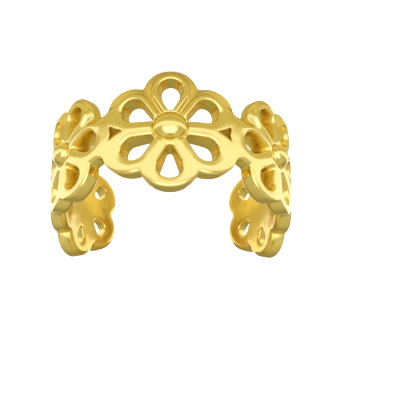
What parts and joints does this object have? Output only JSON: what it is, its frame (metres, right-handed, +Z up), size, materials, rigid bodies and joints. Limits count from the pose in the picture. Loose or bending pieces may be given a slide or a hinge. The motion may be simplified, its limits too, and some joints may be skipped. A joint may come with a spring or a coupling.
{
  "type": "ear cuff",
  "caption": "One-piece open C-shaped ear cuff of pierced daisy-like flowers joined in a row, each with a domed boss and teardrop openings between its petals.",
  "frame": {"origin": "centre of the bounding box's underside, on the surface that the cuff lies on", "axes": "+Z up along the axis of the bend, from one edge of the band to the other; -Y from the hollow towards the centre flower, so that the mouth opens towards +Y; +X across the cuff"},
  "size_m": [0.012, 0.0118, 0.0058],
  "materials": {
    "polished_gold": "polished yellow gold plating"
  },
  "bodies": {
    "root": {"flower_cuff": "polished_gold"}
  },
  "joints": []
}
